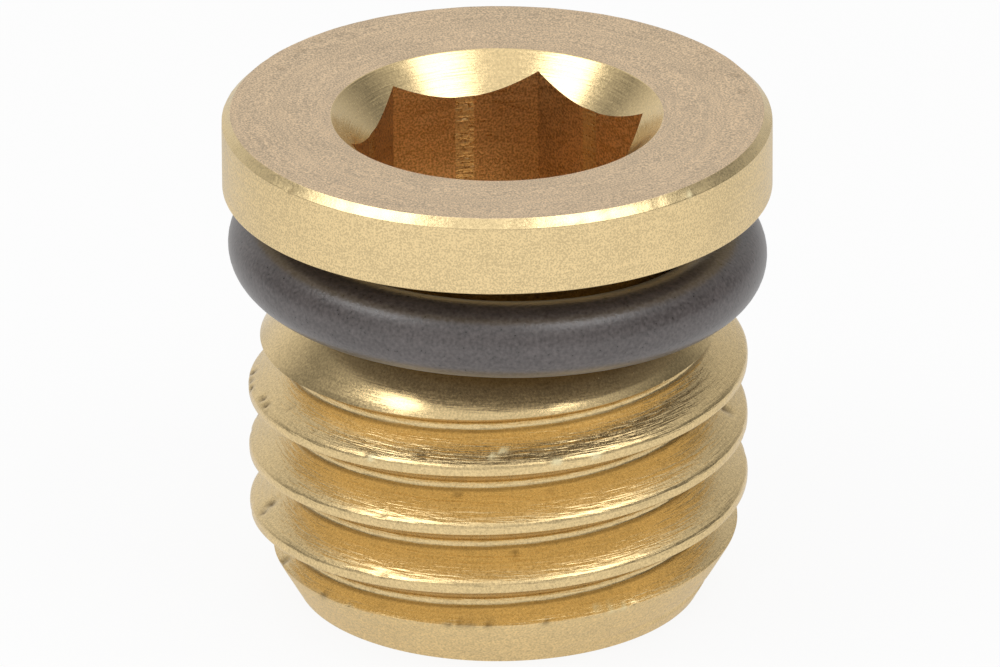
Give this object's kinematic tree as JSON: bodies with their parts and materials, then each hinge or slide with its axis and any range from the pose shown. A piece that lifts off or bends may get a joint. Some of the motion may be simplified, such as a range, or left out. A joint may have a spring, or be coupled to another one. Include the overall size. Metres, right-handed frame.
{
  "type": "threaded plug",
  "caption": "Flanged screw plug with a countersunk hexagon socket, a right-hand external thread and a rubber sealing ring under the flange.",
  "frame": {"origin": "centre of the end face, on the thread axis", "axes": "+Z along the thread axis from the end face to the flange, +X through a corner of the hexagon socket"},
  "size_m": [0.013, 0.013, 0.012],
  "materials": {
    "plug_body": "as turned, satin with fine turning lines",
    "o_ring": "satin"
  },
  "bodies": {
    "root": {"plug_body": "plug_body", "o_ring": "o_ring"}
  },
  "joints": []
}
